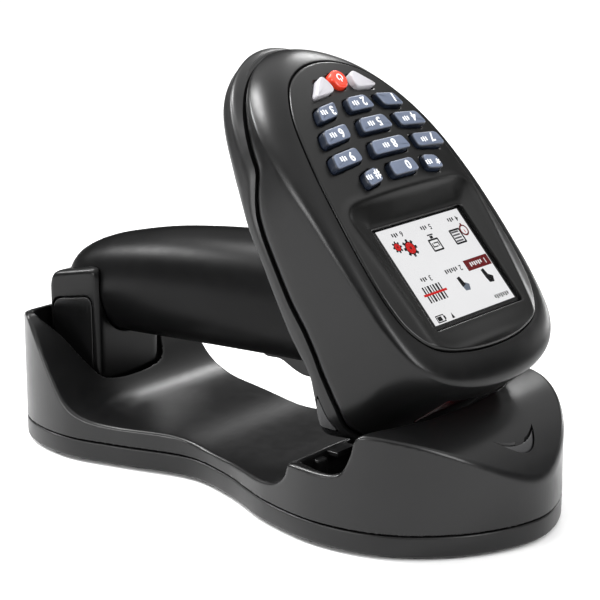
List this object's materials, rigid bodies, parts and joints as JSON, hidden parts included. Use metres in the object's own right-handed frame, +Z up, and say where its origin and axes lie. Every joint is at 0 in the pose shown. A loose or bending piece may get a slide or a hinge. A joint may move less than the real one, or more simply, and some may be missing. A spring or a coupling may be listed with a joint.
{
  "type": "handheld barcode data collector with charging cradle",
  "caption": "Handheld scanner terminal with a keypad, colour screen and trigger grip, lying in a waisted charging cradle with a foot pocket and a nose socket.",
  "frame": {"origin": "on the table, under the middle of the cradle", "axes": "+X to the cradle's front tip, +Y to the left seen from behind, +Z up"},
  "size_m": [0.21, 0.0968, 0.1465],
  "materials": {
    "cradle_black": "fine moulded texture, satin",
    "cradle_grey": "fine moulded texture, satin",
    "foot_rubber": "matt",
    "screw_steel": "bright",
    "board_green": "solder mask",
    "contact_brass": "polished",
    "status_lens": "smoked",
    "case_black": "satin",
    "skirt_grey": "satin",
    "plate_black": "semi-gloss",
    "screen_glass": "clear",
    "lcd_white": "lit screen",
    "key_grey": "soft touch",
    "key_white": "smooth",
    "key_red": "smooth",
    "scan_red": "deep red, clear",
    "cell_blue": "heat-shrink wrap"
  },
  "bodies": {
    "cradle": {"cradle_base_pan": "cradle_black", "cradle_top_shell": "cradle_grey", "cradle_foot_1": "foot_rubber", "cradle_foot_2": "foot_rubber", "cradle_foot_3": "foot_rubber", "cradle_foot_4": "foot_rubber", "cradle_screw_1": "screw_steel", "cradle_screw_2": "screw_steel", "cradle_screw_3": "screw_steel", "cradle_screw_4": "screw_steel", "charging_board": "board_green", "power_inlet": "screw_steel", "status_lens": "status_lens"},
    "scanner": {"head_housing": "case_black", "face_plate": "plate_black", "rear_shell": "skirt_grey", "nose_pad_right": "foot_rubber", "nose_pad_left": "foot_rubber", "screen_window": "screen_glass", "lcd_module": "lcd_white", "keypad_membrane": "foot_rubber", "main_board": "board_green", "buzzer": "case_black", "scan_engine": "case_black", "scan_window": "scan_red", "shell_screw_1": "screw_steel", "shell_screw_2": "screw_steel", "shell_screw_3": "screw_steel", "shell_screw_4": "screw_steel", "grip_shell": "case_black", "grip_foot": "case_black", "foot_panel_right": "case_black", "foot_panel_left": "case_black", "contact_pad_right": "contact_brass", "contact_pad_left": "contact_brass", "battery_cell": "cell_blue", "trigger_pin": "screw_steel", "trigger_switch": "case_black"},
    "charge_pin_right": {"charge_pin_right": "contact_brass"},
    "charge_pin_left": {"charge_pin_left": "contact_brass"},
    "trigger": {"trigger": "case_black"},
    "key_0": {"key_0": "key_grey"},
    "key_1": {"key_1": "key_grey"},
    "key_2": {"key_2": "key_grey"},
    "key_3": {"key_3": "key_grey"},
    "key_4": {"key_4": "key_grey"},
    "key_5": {"key_5": "key_grey"},
    "key_6": {"key_6": "key_grey"},
    "key_7": {"key_7": "key_grey"},
    "key_8": {"key_8": "key_grey"},
    "key_9": {"key_9": "key_grey"},
    "key_star": {"key_star": "key_grey"},
    "key_hash": {"key_hash": "key_grey"},
    "key_power": {"key_power": "key_red"},
    "key_left": {"key_left": "key_white"},
    "key_right": {"key_right": "key_white"}
  },
  "joints": [
    {"name": "scanner_lift", "type": "slide", "parent": "cradle", "child": "scanner", "axis": [0, 0, 1], "range_m": [0, 0.07]},
    {"name": "charge_pin_right_travel", "type": "slide", "parent": "cradle", "child": "charge_pin_right", "axis": [0, 0, 1], "range_m": [-0.0012, 0], "stiffness_N_per_m": 150, "springref_m": 0.0008},
    {"name": "charge_pin_left_travel", "type": "slide", "parent": "cradle", "child": "charge_pin_left", "axis": [0, 0, 1], "range_m": [-0.0012, 0], "stiffness_N_per_m": 150, "springref_m": 0.0008},
    {"name": "trigger_pull", "type": "hinge", "parent": "scanner", "child": "trigger", "pos_m": [0.027, 0, 0.0496], "axis": [0, 1, 0], "range_deg": [0, 6], "stiffness_Nm_per_rad": 0.6, "springref_deg": -6.88},
    {"name": "key_0_press", "type": "slide", "parent": "scanner", "child": "key_0", "axis": [-0.7431, 0, -0.6691], "range_m": [0, 0.0008], "stiffness_N_per_m": 900, "springref_m": -0.0005},
    {"name": "key_1_press", "type": "slide", "parent": "scanner", "child": "key_1", "axis": [-0.7431, 0, -0.6691], "range_m": [0, 0.0008], "stiffness_N_per_m": 900, "springref_m": -0.0005},
    {"name": "key_2_press", "type": "slide", "parent": "scanner", "child": "key_2", "axis": [-0.7431, 0, -0.6691], "range_m": [0, 0.0008], "stiffness_N_per_m": 900, "springref_m": -0.0005},
    {"name": "key_3_press", "type": "slide", "parent": "scanner", "child": "key_3", "axis": [-0.7431, 0, -0.6691], "range_m": [0, 0.0008], "stiffness_N_per_m": 900, "springref_m": -0.0005},
    {"name": "key_4_press", "type": "slide", "parent": "scanner", "child": "key_4", "axis": [-0.7431, 0, -0.6691], "range_m": [0, 0.0008], "stiffness_N_per_m": 900, "springref_m": -0.0005},
    {"name": "key_5_press", "type": "slide", "parent": "scanner", "child": "key_5", "axis": [-0.7431, 0, -0.6691], "range_m": [0, 0.0008], "stiffness_N_per_m": 900, "springref_m": -0.0005},
    {"name": "key_6_press", "type": "slide", "parent": "scanner", "child": "key_6", "axis": [-0.7431, 0, -0.6691], "range_m": [0, 0.0008], "stiffness_N_per_m": 900, "springref_m": -0.0005},
    {"name": "key_7_press", "type": "slide", "parent": "scanner", "child": "key_7", "axis": [-0.7431, 0, -0.6691], "range_m": [0, 0.0008], "stiffness_N_per_m": 900, "springref_m": -0.0005},
    {"name": "key_8_press", "type": "slide", "parent": "scanner", "child": "key_8", "axis": [-0.7431, 0, -0.6691], "range_m": [0, 0.0008], "stiffness_N_per_m": 900, "springref_m": -0.0005},
    {"name": "key_9_press", "type": "slide", "parent": "scanner", "child": "key_9", "axis": [-0.7431, 0, -0.6691], "range_m": [0, 0.0008], "stiffness_N_per_m": 900, "springref_m": -0.0005},
    {"name": "key_star_press", "type": "slide", "parent": "scanner", "child": "key_star", "axis": [-0.7431, 0, -0.6691], "range_m": [0, 0.0008], "stiffness_N_per_m": 900, "springref_m": -0.0005},
    {"name": "key_hash_press", "type": "slide", "parent": "scanner", "child": "key_hash", "axis": [-0.7431, 0, -0.6691], "range_m": [0, 0.0008], "stiffness_N_per_m": 900, "springref_m": -0.0005},
    {"name": "key_power_press", "type": "slide", "parent": "scanner", "child": "key_power", "axis": [-0.7431, 0, -0.6691], "range_m": [0, 0.0008], "stiffness_N_per_m": 900, "springref_m": -0.0005},
    {"name": "key_left_press", "type": "slide", "parent": "scanner", "child": "key_left", "axis": [-0.7431, 0, -0.6691], "range_m": [0, 0.0008], "stiffness_N_per_m": 900, "springref_m": -0.0005},
    {"name": "key_right_press", "type": "slide", "parent": "scanner", "child": "key_right", "axis": [-0.7431, 0, -0.6691], "range_m": [0, 0.0008], "stiffness_N_per_m": 900, "springref_m": -0.0005}
  ]
}
